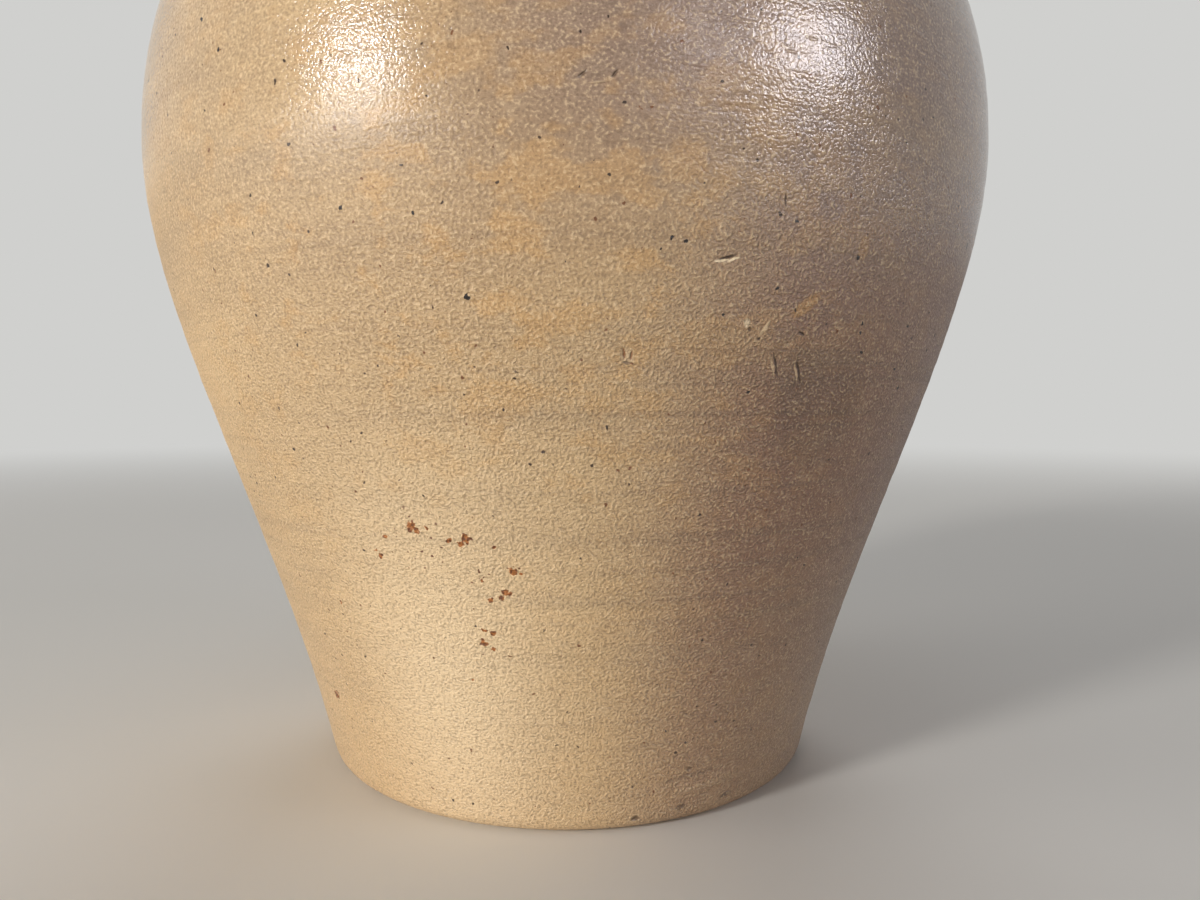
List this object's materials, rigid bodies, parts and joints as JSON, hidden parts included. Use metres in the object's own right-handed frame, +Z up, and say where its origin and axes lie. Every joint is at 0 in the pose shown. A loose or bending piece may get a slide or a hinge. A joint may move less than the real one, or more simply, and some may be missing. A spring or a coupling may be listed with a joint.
{
  "type": "stoneware jar with hinged lid",
  "caption": "Ovoid salt-glazed stoneware jar with lug handles and a metal-mounted hinged lid: flared foot, full belly, banded neck, domed stoneware lid with a knob.",
  "frame": {"origin": "centre of the flat base, on the jar's axis", "axes": "+Z up along the jar's axis, +Y to the back where the hinge is, +X to the right seen from the front"},
  "size_m": [0.257, 0.23, 0.3368],
  "materials": {
    "salt_glaze": "salt-glazed stoneware with orange-peel texture, tan grey with ochre clouds and iron specks",
    "pewter": "dull aged pewter",
    "brass": "tarnished brass",
    "cork": "pressed cork"
  },
  "bodies": {
    "jar": {"jar_body": "salt_glaze", "handle_left": "salt_glaze", "handle_right": "salt_glaze", "neck_band": "pewter", "band_screw": "brass", "band_nut": "brass", "hinge_bracket": "pewter", "bracket_rivets": "brass", "hinge_pin": "brass"},
    "lid": {"lid_dome": "salt_glaze", "lid_knob": "salt_glaze", "lid_ring": "pewter", "lid_seal": "cork", "lid_strap": "pewter", "strap_rivets": "brass", "thumb_lift": "pewter"}
  },
  "joints": [
    {"name": "lid_hinge", "type": "hinge", "parent": "jar", "child": "lid", "pos_m": [0, 0.0875, 0.2862], "axis": [-1, 0, 0], "range_deg": [0, 105]}
  ]
}
